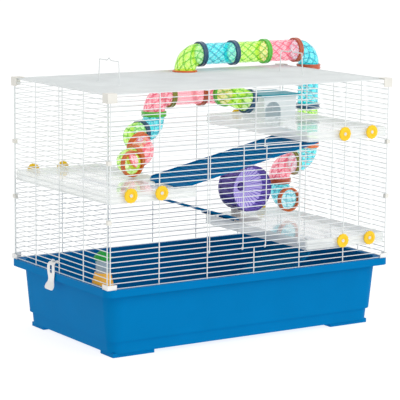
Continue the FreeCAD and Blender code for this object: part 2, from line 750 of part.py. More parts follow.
def wheel_drum(name):
    """A slatted drum, open to the front, with a ribbed disc and hub at the back."""
    width = size("wheel_width")
    back = WHEEL_FRONT + width
    shell = cylinder(name + "_shell", "Dims.wheel_radius", "Dims.wheel_width", (WHEEL_X, WHEEL_FRONT, WHEEL_Z), (0, 1, 0))
    inside = cylinder(name + "_inside", "Dims.wheel_radius - 2.4", width - 2.4, (WHEEL_X, WHEEL_FRONT - 0.01, WHEEL_Z), (0, 1, 0))
    slots = []
    slot_count = 26
    for k in range(slot_count):
        tag = "%s_slot%d" % (name, k)
        slot = box(tag, (50, WHEEL_FRONT + 6, -3.6), (70, back - 7, 3.6))
        angle = 360.0 / slot_count * k
        rotation = Rotation(Vector(0, 1, 0), angle)
        slot.Placement = Placement(Vector(WHEEL_X, 0, WHEEL_Z), Rotation()).multiply(
            Placement(rotation.multVec(Vector(50, WHEEL_FRONT + 6, -3.6)), rotation))
        slots.append(slot)
    drum = cut(name + "_drum", shell, [inside] + slots)
    pieces = [drum]
    for k in range(12):
        rib = box("%s_rib%d" % (name, k), (0, 0, 0), (47, 1.6, 2))
        rotation = Rotation(Vector(0, 1, 0), 30 * k)
        rib.Placement = Placement(Vector(WHEEL_X, 0, WHEEL_Z), Rotation()).multiply(
            Placement(rotation.multVec(Vector(10, back - 3.9, -1)), rotation))
        pieces.append(rib)
    pieces.append(cylinder(name + "_hub", 11, 12, (WHEEL_X, back - 13, WHEEL_Z), (0, 1, 0)))
    bore = cylinder(name + "_bore", 4.5, 60, (WHEEL_X, back - 30, WHEEL_Z), (0, 1, 0))
    return cut(name, fuse(name + "_whole", pieces), [bore])


def wheel_axle(name):
    """The axle pin and its head, held by the stand behind the drum."""
    back = WHEEL_FRONT + size("wheel_width")
    pin = cylinder(name + "_pin", 4, 28, (WHEEL_X, back - 17, WHEEL_Z), (0, 1, 0))
    head = cylinder(name + "_head", 8, 4, (WHEEL_X, back - 18, WHEEL_Z), (0, 1, 0))
    return fuse(name, [pin, head])


def wheel_stand(name):
    """A post on a broad foot that carries the wheel clear of the shelf."""
    back = WHEEL_FRONT + size("wheel_width")
    floor = floor_z("lower")
    foot = box(name + "_foot", (WHEEL_X - 42, back - 48, floor), (WHEEL_X + 42, back + 26, floor + 3))
    post = box(name + "_post", (WHEEL_X - 13, back + 3, floor), (WHEEL_X + 13, back + 9, WHEEL_Z))
    head = cylinder(name + "_head", 13, 6, (WHEEL_X, back + 3, WHEEL_Z), (0, 1, 0))
    gusset = box(name + "_gusset", (WHEEL_X - 2, back + 8, floor), (WHEEL_X + 2, back + 22, floor + 40))
    bore = cylinder(name + "_bore", 4, 30, (WHEEL_X, back, WHEEL_Z), (0, 1, 0))
    return cut(name, fuse(name + "_whole", [foot, post, head, gusset]), [bore])


FEEDER_X = -328.5
FEEDER_Y = -88


def cone(name, r1, r2, height, base):
    """A Part cone standing upright."""
    obj = doc.addObject("Part::Cone", name)
    obj.Radius1, obj.Radius2, obj.Height = r1, r2, height
    obj.Placement.Base = Vector(*base)
    return obj


def feeder_pieces():
    """The dry feeder: a flared amber base with a feeding mouth, a clear hopper and a screw cap."""
    x, y = FEEDER_X, FEEDER_Y
    floor = size("foot_height") + size("tray_wall") + 0.3
    shoulder = floor + 138
    waist = floor + 165
    wall = 2.4
    outer = fuse("feeder_base_outer", [
        cone("feeder_base_skirt", 34, 25.5, shoulder - floor, (x, y, floor)),
        cone("feeder_base_neck", 25.5, 19, waist - shoulder, (x, y, shoulder)),
    ])
    hollow = fuse("feeder_base_hollow", [
        cone("feeder_base_well", 34 - wall, 25.5 - wall, shoulder - floor - wall, (x, y, floor + wall)),
        cone("feeder_base_funnel", 25.5 - wall, 16.4, waist - shoulder + 1, (x, y, shoulder)),
    ])
    throat = cylinder("feeder_base_throat", 16.4, 40, (x, y, waist - 20))
    mouth = box("feeder_base_mouth", (x, y - 22, floor + 10), (x + 60, y + 22, floor + 52))
    base = cut("feeder_base", outer, [hollow, throat, mouth])

    neck = cylinder("feeder_hopper_neck", 16.1, 16, (x, y, waist - 15.6))
    barrel = cylinder("feeder_hopper_barrel", 17.0, 35, (x, y, waist + 0.4))
    space = cylinder("feeder_hopper_space", 14.6, 80, (x, y, waist - 20))
    hopper = cut("feeder_hopper", fuse("feeder_hopper_solid", [neck, barrel]), [space])

    cap_low = waist + 21.5
    cap_shell = cylinder("feeder_cap_shell", 20.5, floor + size("feeder_height") - cap_low, (x, y, cap_low))
    cap_bore = cylinder("feeder_cap_bore", 17.35, waist + 35.8 - cap_low + 1, (x, y, cap_low - 1))
    grips = []
    for k in range(24):
        angle = math.radians(15 * k)
        spot = (x + 20.9 * math.cos(angle), y + 20.9 * math.sin(angle), cap_low - 1)
        grips.append(cylinder("feeder_cap_grip%d" % k, 1.1, 40, spot))
    cap = cut("feeder_cap", cap_shell, [cap_bore] + grips)
    return base, hopper, cap


# ---------------------------------------------------------------- play tunnel

LEG = size("elbow_leg")
TUNNEL_Y = 164
ENTRY_X = 54
TOP_Z = 645
PORT_Z = TOP_Z - LEG
TEE_Z = 547
DROP_X = ENTRY_X + 2 * LEG + 3 * size("top_pitch")
WALL_Z = PORT_Z - 2 * size("drop_pitch") - LEG
STOP_HALF = 1.0


def make_straight(name, pitch):
    """A straight length of tube that spans two collars set pitch apart, along +Z from the first."""
    length = "Dims.%s - 2" % pitch
    outer = cylinder(name + "_outer", "Dims.tube_radius", length, (0, 0, STOP_HALF))
    inner = cylinder(name + "_inner", "Dims.tube_radius - Dims.tube_wall", size(pitch) + 4, (0, 0, -2))
    return cut(name, outer, [inner])


def make_elbow(name):
    """A right-angle bend that enters along +Z at the origin and leaves along +X."""
    bend = LEG - 5
    straight = LEG - bend - STOP_HALF
    inner = "Dims.tube_radius - Dims.tube_wall"
    radii = (("outer", "Dims.tube_radius"), ("inner", inner))
    rise = [cylinder("%s_rise_%s" % (name, part), r, straight, (0, 0, STOP_HALF)) for part, r in radii]
    run = [cylinder("%s_run_%s" % (name, part), r, straight, (bend, 0, LEG), (1, 0, 0)) for part, r in radii]
    curve = [torus("%s_curve_%s" % (name, part), bend, r, (bend, 0, LEG - bend), (0, 0, 1), 90) for part, r in radii]
    for piece in curve:
        piece.Placement.Rotation = Rotation(Vector(-1, 0, 0), Vector(0, 0, 1), Vector(0, 1, 0), "XYZ")
    hollow = [cut("%s_part%d" % (name, k), pair[0], [pair[1]]) for k, pair in enumerate((rise, curve, run))]
    return fuse(name, hollow)


def make_collar(name):
    """A joining collar, centred on the origin along Z, with a stop rib the tube ends meet."""
    half = size("collar_length") / 2
    ring = doc.addObject("Part::Cylinder", name + "_ring")
    bind(ring, Radius="Dims.collar_radius", Height="Dims.collar_length")
    ring.Placement.Base = Vector(0, 0, -half)
    low = cylinder(name + "_low", "Dims.collar_bore", half - STOP_HALF + 1, (0, 0, -half - 1))
    high = cylinder(name + "_high", "Dims.collar_bore", half - STOP_HALF + 1, (0, 0, STOP_HALF))
    lumen = cylinder(name + "_lumen", "Dims.tube_radius - Dims.tube_wall", 2 * half, (0, 0, -half))
    return cut(name, ring, [low, high, lumen])


def make_tee(name):
    """The plain tee under the roof port: a level run with one branch rising to the roof."""
    reach = LEG + 2
    rise = PORT_Z - TEE_Z
    pieces = {}
    for part, radius, extra in (("outer", "Dims.tube_radius", 0), ("inner", "Dims.tube_radius - Dims.tube_wall", 3)):
        run = cylinder("%s_%s_run" % (name, part), radius, 2 * (reach - STOP_HALF + extra),
                       (ENTRY_X - reach + STOP_HALF - extra, TUNNEL_Y, TEE_Z), (1, 0, 0))
        up = cylinder("%s_%s_up" % (name, part), radius, rise - STOP_HALF + extra, (ENTRY_X, TUNNEL_Y, TEE_Z))
        pieces[part] = fuse("%s_%s" % (name, part), [run, up])
    return cut(name, pieces["outer"], [pieces["inner"]])


def unit(v):
    """A vector's direction."""
    v = Vector(*v)
    v.normalize()
    return v


def square_to(direction, wanted):
    """The direction nearest to wanted that is square to the one given."""
    d = unit(direction)
    w = Vector(*wanted)
    w = w - d * w.dot(d)
    w.normalize()
    return w


class Tunnel:
    """Places bends, straights and collars one after another along the tunnel."""

    def __init__(self, elbow, collar):
        self.elbow = elbow
        self.collar = collar
        self.collars = {}

    def add_collar(self, colour, at, axis):
        ring_list = self.collars.setdefault(colour, [])
        tag = "%s_collar_%d" % (colour, len(ring_list))
        ring_list.append(copy_of(self.collar, tag, tuple(at), turned(tuple(axis))))

    def bend(self, label, at, inward, outward):
        """Add an elbow from collar point at; returns the next collar point and direction."""
        entry = unit(inward)
        leave = square_to(inward, outward)
        rotation = turned(tuple(entry), tuple(leave))
        node(copy_of(self.elbow, label, tuple(at), rotation), label)
        return Vector(*at) + (entry + leave) * LEG, leave

    def straight(self, label, master, at, direction, pitch):
        """Add a straight from collar point at; returns the next collar point."""
        node(copy_of(master, label, tuple(at), turned(tuple(direction))), label)
        return Vector(*at) + unit(direction) * pitch


def build_tunnel():
    """Lay out the whole tunnel from the roof port."""
    elbow = make_elbow("elbow_master")
    top_straight = make_straight("top_straight_master", "top_pitch")
    drop_straight = make_straight("drop_straight_master", "drop_pitch")
    tunnel = Tunnel(elbow, make_collar("collar_master"))
    up, down = (0, 0, 1), (0, 0, -1)
    right, left, front = (1, 0, 0), (-1, 0, 0), (0, -1, 0)

    # Over the roof, from the port to beyond the right-hand panel.
    port = (ENTRY_X, TUNNEL_Y, PORT_Z)
    tunnel.add_collar("orange", port, up)
    at, _ = tunnel.bend("tunnel_roof_elbow", port, up, right)
    tunnel.add_collar("navy", at, right)
    for label, colour in (("tunnel_top_straight_1", "navy"), ("tunnel_top_straight_2", "green"),
                          ("tunnel_top_straight_3", "brown")):
        at = tunnel.straight(label, top_straight, at, right, size("top_pitch"))
        tunnel.add_collar(colour, at, right)
    at, _ = tunnel.bend("tunnel_drop_elbow", at, right, down)

    # Down the outside and back in through the ringed port of the right-hand panel.
    tunnel.add_collar("brown", at, down)
    for label, colour in (("tunnel_drop_straight_1", "navy"), ("tunnel_drop_straight_2", "orange")):
        at = tunnel.straight(label, drop_straight, at, down, size("drop_pitch"))
        tunnel.add_collar(colour, at, down)
    at, _ = tunnel.bend("tunnel_return_elbow", at, down, left)
    tunnel.add_collar("olive", at, left)
    at, _ = tunnel.bend("tunnel_wall_elbow", at, left, down)
    tunnel.add_collar("brown", at, down)
    at, _ = tunnel.bend("tunnel_lower_mouth", at, down, front)
    tunnel.add_collar("orange", at, front)

    # The tee under the roof port and the short arm to the upper shelf.
    node(make_tee("tunnel_tee"), "tunnel_tee")
    reach = LEG + 2
    at = (ENTRY_X + reach, TUNNEL_Y, TEE_Z)
    tunnel.add_collar("brown", at, right)
    at, way = tunnel.bend("tunnel_arm_elbow", at, right, front)
    tunnel.add_collar("green", at, way)
    at, way = tunnel.bend("tunnel_upper_mouth", at, way, (0.92, 0, -0.39))
    tunnel.add_collar("navy", at, way)

    # The winding arm down to the middle shelf.
    at = (ENTRY_X - reach, TUNNEL_Y, TEE_Z)
    tunnel.add_collar("olive", at, left)
    at, way = tunnel.bend("tunnel_descent_elbow", at, left, down)
    tunnel.add_collar("green", at, way)
    turns = [
        ("tunnel_winding_elbow_1", "navy", (-0.98, -0.197, 0)),
        ("tunnel_winding_elbow_2", "orange", (0.177, -0.879, -0.443)),
        ("tunnel_winding_elbow_3", "orange", (-0.981, -0.122, -0.149)),
        ("tunnel_middle_mouth", "orange", (0.122, -0.992, 0.0)),
    ]
    for label, colour, way_out in turns:
        at, way = tunnel.bend(label, at, way, way_out)
        tunnel.add_collar(colour, at, way)

    for colour, rings in tunnel.collars.items():
        label = colour + "_collars"
        node(group(label, rings), label)


# ---------------------------------------------------------------- assembly

def build():
    """Make every piece in its place."""
    node(make_tray(), "base_tray")
    node(long_panel("front_panel", -1, True), "front_panel")
    node(long_panel("back_panel", 1, False), "back_panel")
    node(short_panel("left_panel", -1), "left_panel")
    node(short_panel("right_panel", 1, (TUNNEL_Y, WALL_Z)), "right_panel")
    node(roof_panel("roof_panel", (ENTRY_X, TUNNEL_Y)), "roof_panel")
    node(front_door("front_door"), "front_door")
    node(door_latch("door_latch"), "door_latch")
    node(corner_caps("top_corner_connectors", 584, 605.4, 24, False), "top_corner_connectors")
    node(corner_caps("bottom_corner_pieces", CAGE_BOTTOM, CAGE_BOTTOM + 11, 24, True), "bottom_corner_pieces")
    node(edge_clips("panel_edge_clips"), "panel_edge_clips")
    node(base_clip("left_base_clip", -1), "left_base_clip")
    node(base_clip("right_base_clip", 1), "right_base_clip")
    node(carry_handle("left_carry_handle", -1), "left_carry_handle")
    node(carry_handle("right_carry_handle", 1), "right_carry_handle")

    for level in ("upper", "middle", "lower"):
        node(make_shelf(level), level + "_shelf")
        node(make_knobs(level), level + "_shelf_knobs")
        node(make_studs(level), level + "_shelf_studs")
    shelf_ramp = make_ramp("shelf_ramp", "ramp_length", True)
    tray_ramp = make_ramp("tray_ramp", "tray_ramp_length", False)
    node(place_ramp(shelf_ramp, "upper_ramp"), "upper_ramp")
    node(place_ramp(shelf_ramp, "middle_ramp"), "middle_ramp")
    node(place_ramp(tray_ramp, "lower_ramp"), "lower_ramp")
    node(make_hooks(), "ramp_hooks")

    node(house_body("house_body"), "house_body")
    node(house_roof("house_roof"), "house_roof")
    node(wheel_drum("wheel_drum"), "wheel_drum")
    node(wheel_axle("wheel_axle"), "wheel_axle")
    node(wheel_stand("wheel_stand"), "wheel_stand")
    base, hopper, cap = feeder_pieces()
    node(base, "feeder_base")
    node(hopper, "feeder_hopper")
    node(cap, "feeder_cap")
    build_tunnel()


def write_parts():
    """Check every piece and write its file."""
    doc.recompute()
    for obj in doc.Objects:
        if "Invalid" in obj.State or "Error" in obj.State:
            raise RuntimeError("%s is %s" % (obj.Name, obj.State))
    os.makedirs("parts", exist_ok=True)
    for obj in NODES:
        shape = obj.Shape
        if shape.isNull() or not shape.isValid() or not shape.Solids:
            raise RuntimeError("%s has no valid solid" % obj.Label)
        shape.exportStep("parts/%s.step" % obj.Label)
        print(obj.Label, len(shape.Solids), "solids", round(shape.Volume), "mm3")


build()
write_parts()
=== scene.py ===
import json
import math

import bmesh
import bpy
from mathutils import Matrix, Vector


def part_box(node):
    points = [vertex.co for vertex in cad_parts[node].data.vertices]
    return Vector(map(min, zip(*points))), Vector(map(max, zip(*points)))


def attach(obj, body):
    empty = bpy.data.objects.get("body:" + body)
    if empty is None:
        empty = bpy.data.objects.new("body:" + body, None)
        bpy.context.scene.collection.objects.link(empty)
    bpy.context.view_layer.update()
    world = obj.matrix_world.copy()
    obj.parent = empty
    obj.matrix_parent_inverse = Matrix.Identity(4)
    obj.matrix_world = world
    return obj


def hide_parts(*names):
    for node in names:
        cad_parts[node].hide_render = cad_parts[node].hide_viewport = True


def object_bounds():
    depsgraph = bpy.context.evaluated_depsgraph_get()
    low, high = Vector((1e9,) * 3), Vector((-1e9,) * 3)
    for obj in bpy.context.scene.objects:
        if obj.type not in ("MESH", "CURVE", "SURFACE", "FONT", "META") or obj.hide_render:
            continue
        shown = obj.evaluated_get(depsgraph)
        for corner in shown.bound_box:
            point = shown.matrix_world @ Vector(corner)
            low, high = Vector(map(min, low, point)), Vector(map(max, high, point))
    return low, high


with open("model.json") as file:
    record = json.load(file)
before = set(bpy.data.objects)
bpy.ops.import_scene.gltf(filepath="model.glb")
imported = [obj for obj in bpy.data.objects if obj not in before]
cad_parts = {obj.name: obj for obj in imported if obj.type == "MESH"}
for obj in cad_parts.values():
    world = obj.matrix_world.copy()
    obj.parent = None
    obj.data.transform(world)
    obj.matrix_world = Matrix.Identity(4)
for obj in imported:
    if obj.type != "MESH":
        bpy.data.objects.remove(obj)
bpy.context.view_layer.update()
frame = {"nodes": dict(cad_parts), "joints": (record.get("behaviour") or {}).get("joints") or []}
nodes = frame["nodes"]

MM = 0.001


# ---------------------------------------------------------------- materials

def srgb(red, green, blue):
    """A display colour, 0 to 255, as the linear colour a shader takes."""
    def linear(value):
        value /= 255
        return value / 12.92 if value <= 0.04045 else ((value + 0.055) / 1.055) ** 2.4
    return (linear(red), linear(green), linear(blue), 1.0)


def shade(colour, factor):
    """The same colour made darker or lighter."""
    return tuple(min(1.0, c * factor) for c in colour[:3]) + (1.0,)


def mapped(tree, source, low, high):
    """A node that spreads a 0 to 1 value over low to high."""
    spread = tree.nodes.new("ShaderNodeMapRange")
    spread.inputs["To Min"].default_value = low
    spread.inputs["To Max"].default_value = high
    tree.links.new(source, spread.inputs["Value"])
    return spread.outputs["Result"]


def noise(tree, place, scale, detail):
    """Smooth noise in the object's own space."""
    field = tree.nodes.new("ShaderNodeTexNoise")
    field.inputs["Scale"].default_value = scale
    field.inputs["Detail"].default_value = detail
    tree.links.new(place, field.inputs["Vector"])
    return field.outputs["Fac"]


def plastic(name, colour, roughness=0.3, alpha=1.0, grain=900, depth=0.02, mottle=0.06, coat=0.0, painted_glow=0.0,
            specular=0.5):
    """Moulded plastic or paint: soft mottling, fine grain (depth in millimetres) and uneven gloss, with an
    optional painted glow that makes the part emit light as painted light.
    """
    material = bpy.data.materials.new(name)
    material.use_nodes = True
    tree = material.node_tree
    shader = tree.nodes["Principled BSDF"]
    place = tree.nodes.new("ShaderNodeTexCoord").outputs["Object"]
    broad = noise(tree, place, 14, 4)
    ramp = tree.nodes.new("ShaderNodeValToRGB")
    ramp.color_ramp.elements[0].position = 0.3
    ramp.color_ramp.elements[0].color = shade(colour, 1 - mottle)
    ramp.color_ramp.elements[1].position = 0.7
    ramp.color_ramp.elements[1].color = shade(colour, 1 + mottle)
    tree.links.new(broad, ramp.inputs["Fac"])
    tree.links.new(ramp.outputs["Color"], shader.inputs["Base Color"])
    fine = noise(tree, place, grain, 2)
    tree.links.new(mapped(tree, fine, roughness * 0.85, roughness * 1.2), shader.inputs["Roughness"])
    bump = tree.nodes.new("ShaderNodeBump")
    bump.inputs["Strength"].default_value = 0.25
    bump.inputs["Distance"].default_value = depth * MM
    tree.links.new(fine, bump.inputs["Height"])
    tree.links.new(bump.outputs["Normal"], shader.inputs["Normal"])
    shader.inputs["Alpha"].default_value = alpha
    shader.inputs["Specular IOR Level"].default_value = specular
    shader.inputs["Coat Weight"].default_value = coat
    shader.inputs["Coat Roughness"].default_value = 0.08
    # Painted glow: the part emits light in its own colour though it is no lamp, painted light that
    # brightens it.
    if painted_glow:
        shader.inputs["Emission Color"].default_value = colour
        shader.inputs["Emission Strength"].default_value = painted_glow
    return material


CYAN = srgb(10, 230, 238)
LIME = srgb(208, 255, 70)
PINK = srgb(255, 168, 182)


def tube_pair(name, colour, ridge_colour):
    """A tube's clear wall and the deeper colour of its raised ridges."""
    # The wall and the ridges both carry a painted glow, painted light that brightens the tube.
    wall = plastic("tube_" + name, colour, 0.1, alpha=0.33, coat=0.3, painted_glow=0.34)
    ridge = plastic("rib_" + name, ridge_colour, 0.2, alpha=0.7, painted_glow=0.18)
    return wall, ridge


tray_blue = plastic("tray_blue", srgb(0, 120, 184), 0.34, grain=500, depth=0.05, mottle=0.03, coat=0.02,
                    specular=0.01)
# The wires carry a painted glow, painted light that keeps them bright where they face the dimmer
# surroundings.
wire_white = plastic("wire_white", srgb(224, 228, 228), 0.35, mottle=0.05, painted_glow=0.1)
roof_wire = plastic("roof_wire", srgb(222, 226, 226), 0.4, mottle=0.05, specular=0.3)
fitting_cream = plastic("fitting_cream", srgb(232, 230, 222), 0.4, depth=0.04)
clip_white = plastic("clip_white", srgb(242, 242, 240), 0.3, depth=0.03)
# The clear shelves carry a painted glow, painted light that brightens them.
shelf_clear = plastic("shelf_clear", srgb(238, 241, 239), 0.1, alpha=0.6, mottle=0.04, coat=0.9, painted_glow=0.12)
knob_yellow = plastic("knob_yellow", srgb(250, 205, 20), 0.25, coat=0.2, specular=0.3)
stud_white = plastic("stud_white", srgb(240, 240, 238), 0.3)
ramp_blue = plastic("ramp_blue", srgb(0, 104, 158), 0.42, grain=400, depth=0.06, mottle=0.04, specular=0.01)
# The house body carries a painted glow, painted light that brightens it.
house_white = plastic("house_white", srgb(226, 233, 235), 0.3, alpha=0.9, painted_glow=0.15)
roof_teal = plastic("roof_teal", srgb(0, 152, 172), 0.3, mottle=0.04, specular=0.06)
# The drum's own violet; on the tread it also fills the flute valleys as painted shade.
wheel_violet = plastic("wheel_violet", srgb(90, 68, 165), 0.28, alpha=0.94, coat=0.2, specular=0.3)
# The dish's lavender carries a painted glow, painted light that brightens it.
wheel_lavender = plastic("wheel_lavender", srgb(205, 190, 248), 0.3, painted_glow=0.3)
# The tread's own violet with a painted glow; on the dish it also fills the flute valleys as painted shade.
tread_violet_and_valley_shade = plastic("tread_violet_and_valley_shade", srgb(132, 112, 205), 0.3, alpha=0.92, painted_glow=0.08)
# The amber base carries a painted glow, painted light that makes it look brighter.
feeder_amber = plastic("feeder_amber", srgb(244, 184, 62), 0.2, alpha=0.9, coat=0.3, painted_glow=0.2)
hopper_clear = plastic("hopper_clear", srgb(205, 225, 235), 0.1, alpha=0.45, coat=0.5)
cap_green = plastic("cap_green", srgb(30, 160, 60), 0.28, specular=0.3)
TUBES = {
    "cyan": tube_pair("cyan", CYAN, srgb(0, 158, 185)),
    "lime": tube_pair("lime", LIME, srgb(95, 190, 0)),
    "pink": tube_pair("pink", PINK, srgb(240, 88, 120)),
}
COLLARS = {
    "orange": plastic("collar_orange", srgb(232, 108, 32), 0.22, alpha=0.93, coat=0.4),
    "navy": plastic("collar_navy", srgb(20, 80, 118), 0.22, alpha=0.93, coat=0.4),
    "green": plastic("collar_green", srgb(90, 205, 50), 0.22, alpha=0.9, coat=0.4),
    "brown": plastic("collar_brown", srgb(198, 84, 42), 0.22, alpha=0.93, coat=0.4),
    "olive": plastic("collar_olive", srgb(148, 148, 40), 0.22, alpha=0.93, coat=0.4),
}


def give(material, *names):
    """Puts a material on CAD nodes."""
    for name in names:
        obj = nodes[name]
        obj.data.materials.clear()
        obj.data.materials.append(material)


give(tray_blue, "base_tray")
give(roof_wire, "roof_panel")
give(wire_white, "front_panel", "back_panel", "left_panel", "right_panel", "front_door", "door_latch",
     "left_carry_handle", "right_carry_handle", "ramp_hooks")
give(fitting_cream, "top_corner_connectors", "panel_edge_clips")
give(clip_white, "bottom_corner_pieces")
for level in ("upper", "middle", "lower"):
    give(shelf_clear, level + "_shelf")
    give(ramp_blue, level + "_ramp")
give(house_white, "house_body")
give(roof_teal, "house_roof")
give(wheel_violet, "wheel_drum", "wheel_axle")
give(fitting_cream, "wheel_stand")
give(feeder_amber, "feeder_base")
give(hopper_clear, "feeder_hopper")
give(TUBES["pink"][0], "tunnel_tee")


# ---------------------------------------------------------------- mesh helpers

def new_piece(name, verts, faces, materials, body):
    """A smooth-shaded mesh object that rides on a body."""
    mesh = bpy.data.meshes.new(name)
    mesh.from_pydata(verts, [], faces)
    mesh.update()
    obj = bpy.data.objects.new(name, mesh)
    bpy.context.scene.collection.objects.link(obj)
    for material in materials:
        mesh.materials.append(material)
    mesh.shade_smooth()
    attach(obj, body)
    return obj


def loose_parts(name):
    """Each separate solid of a CAD node: its middle, and the direction of its largest flat faces."""
    bm = bmesh.new()
    bm.from_mesh(nodes[name].data)
    bmesh.ops.remove_doubles(bm, verts=bm.verts, dist=1e-6)
    left = set(bm.verts)
    parts = []
    while left:
        stack = [left.pop()]
        found = list(stack)
        while stack:
            for edge in stack.pop().link_edges:
                for vert in edge.verts:
                    if vert in left:
                        left.remove(vert)
                        stack.append(vert)
                        found.append(vert)
        areas = {}
        for face in {f for v in found for f in v.link_faces}:
            n = face.normal
            if (n.x, n.y, n.z) < (0, 0, 0):
                n = -n
            key = (round(n.x, 2), round(n.y, 2), round(n.z, 2))
            area, total = areas.get(key, (0.0, Vector()))
            areas[key] = (area + face.calc_area(), total + n * face.calc_area())
        axis = max(areas.values(), key=lambda entry: entry[0])[1].normalized()
        along = [v.co.dot(axis) for v in found]
        centre = sum((v.co for v in found), Vector()) / len(found)
        centre += axis * ((min(along) + max(along)) / 2 - centre.dot(axis))
        parts.append((centre, axis))
    bm.free()
    return parts


def square_pair(axis):
    """Two directions square to an axis and to each other."""
    other = Vector((0, 0, 1)) if abs(axis.z) < 0.9 else Vector((1, 0, 0))
    first = axis.cross(other).normalized()
    return first, axis.cross(first).normalized()


def revolve(profile, centre, axis, segments=64, lobes=0, lobe_depth=0.0, lobe_from=None):
    """Verts and faces of a closed (radius, along) profile turned about an axis; lobes scallop its rim."""
    first, second = square_pair(axis)
    verts = []
    for k in range(segments):
        angle = 2 * math.pi * k / segments
        out = first * math.cos(angle) + second * math.sin(angle)
        for radius, along in profile:
            if lobes and radius >= lobe_from:
                radius -= lobe_depth * (0.5 - 0.5 * math.cos(lobes * angle)) ** 2
            verts.append(centre + (out * radius + axis * along) * MM)
    count = len(profile)
    faces = []
    for k in range(segments):
        a, b = k * count, (k + 1) % segments * count
        for j in range(count):
            i = (j + 1) % count
            faces.append((a + j, b + j, b + i, a + i))
    return verts, faces


def gather(shapes):
    """Joins several (verts, faces) into one."""
    verts, faces = [], []
    for part_verts, part_faces in shapes:
        base = len(verts)
        verts += part_verts
        faces += [tuple(base + i for i in face) for face in part_faces]
    return verts, faces


# ---------------------------------------------------------------- collars and knobs

# Profiles are (radius, distance along the axis) in millimetres.
COLLAR_PROFILE = [
    (27.2, -6.5), (30.2, -6.5), (31.1, -6.1), (31.5, -5.2), (31.5, -2.2), (30.9, -1.5), (30.9, 1.5),
    (31.5, 2.2), (31.5, 5.2), (31.1, 6.1), (30.2, 6.5), (27.2, 6.5), (27.2, 1.0), (25.4, 1.0),
    (25.4, -1.0), (27.2, -1.0),
]
rings = []
for colour, material in COLLARS.items():
    node = colour + "_collars"
    found = loose_parts(node)
    rings += found
    shapes = [revolve(COLLAR_PROFILE, centre, axis, 72) for centre, axis in found]
    piece = new_piece(colour + "_joining_rings", *gather(shapes), [material], "cage")
    piece.modifiers.new("edges", "EDGE_SPLIT").split_angle = math.radians(50)
    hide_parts(node)

KNOB_PROFILE = [
    (2.1, -2.5), (14.6, -2.5), (16.2, -2.2), (17.0, -1.2), (17.0, 0.9), (16.3, 1.9), (15.0, 2.45),
    (9.6, 2.5), (8.8, 2.2), (8.4, 1.2), (8.0, 0.9), (5.2, 0.9), (4.6, 1.2), (4.2, 1.2), (4.0, 0.0),
    (2.1, 0.0),
]
STUD_PROFILE = [
    (0.2, -10.5), (1.8, -10.5), (1.8, 0.3), (3.7, 0.3), (3.8, 1.7), (3.3, 2.2), (2.0, 2.4), (1.8, 1.6),
    (0.2, 1.6),
]
KNOB_LOBES = 12
KNOB_LOBE_DEPTH = 0.8
KNOB_LOBES_FROM = 15
for level in ("upper", "middle", "lower"):
    node = level + "_shelf_knobs"
    shapes = []
    studs = []
    for centre, axis in loose_parts(node):
        outward = Vector((0, math.copysign(1, centre.y), 0))
        shapes.append(revolve(KNOB_PROFILE, centre, outward, 96, KNOB_LOBES, KNOB_LOBE_DEPTH,
                              KNOB_LOBES_FROM))
        studs.append(revolve(STUD_PROFILE, centre, outward, 32))
    stud = new_piece(level + "_white_studs", *gather(studs), [stud_white], "cage")
    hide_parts(level + "_shelf_studs")
    piece = new_piece(level + "_grip_knobs", *gather(shapes), [knob_yellow], "cage")
    piece.modifiers.new("edges", "EDGE_SPLIT").split_angle = math.radians(40)
    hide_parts(node)


# ---------------------------------------------------------------- tunnel tubes

TUBE_OUTER = 27.0
TUBE_INNER = 25.4
RIDGE = 0.55
BEND = 39.0
STOP = 1.0
HELICES = 8
HELIX_RUN = 26.0
SEGMENTS = 96
STEP = 1.6
# Rings of points in a bend's straight end, which stays plain.
LEG_STEPS = 3
# Half a ridge's width as a share of the gap between ridges, and how steeply its sides rise.
RIDGE_HALF = 0.13
RIDGE_SLOPE = 1.6
# A face whose four corner heights add up to more than this takes the ridge colour.
ON_RIDGE = 1.8


def tube_path(start, start_axis, end, end_axis):
    """Points, tangents and one constant side direction along a straight or a single round bend."""
    if abs(start_axis.dot(end_axis)) > 0.999:
        axis = (end - start).normalized()
        side = square_pair(axis)[0]
        length = (end - start).length - 2 * STOP * MM
        count = round(length / (STEP * MM))
        begin = start + axis * STOP * MM
        return [(begin + axis * length * k / count, axis, side) for k in range(count + 1)]
    side = start_axis.cross(end_axis).normalized()
    leg = (end - start).length / math.sqrt(2 - 2 * start_axis.dot(-end_axis))
    corner = start + start_axis * leg
    turn = start_axis.angle(end_axis)
    radius = BEND * MM
    cut_back = radius * math.tan(turn / 2)
    bend_start = corner - start_axis * cut_back
    centre = bend_start + side.cross(start_axis) * radius
    path = []
    for k in range(LEG_STEPS):
        along = STOP * MM + (leg - cut_back - STOP * MM) * k / LEG_STEPS
        path.append((start + start_axis * along, start_axis, side))
    count = round(radius * turn / (STEP * MM))
    for k in range(count + 1):
        spin = Matrix.Rotation(turn * k / count, 3, side)
        path.append((centre + spin @ (bend_start - centre), spin @ start_axis, side))
    for k in range(1, LEG_STEPS + 1):
        along = (leg - cut_back - STOP * MM) * k / LEG_STEPS
        path.append((corner + end_axis * (cut_back + along), end_axis, side))
    return path


def ridge_height(angle, run):
    """Height, 0 to 1, of the crossing spiral ridges at a point on a tube."""
    best = 0.0
    for sign in (-1, 1):
        phase = HELICES * angle / (2 * math.pi) + sign * run / HELIX_RUN
        away = abs(phase - round(phase))
        best = max(best, 1 - away / RIDGE_HALF)
    return max(0.0, min(1.0, best * RIDGE_SLOPE))


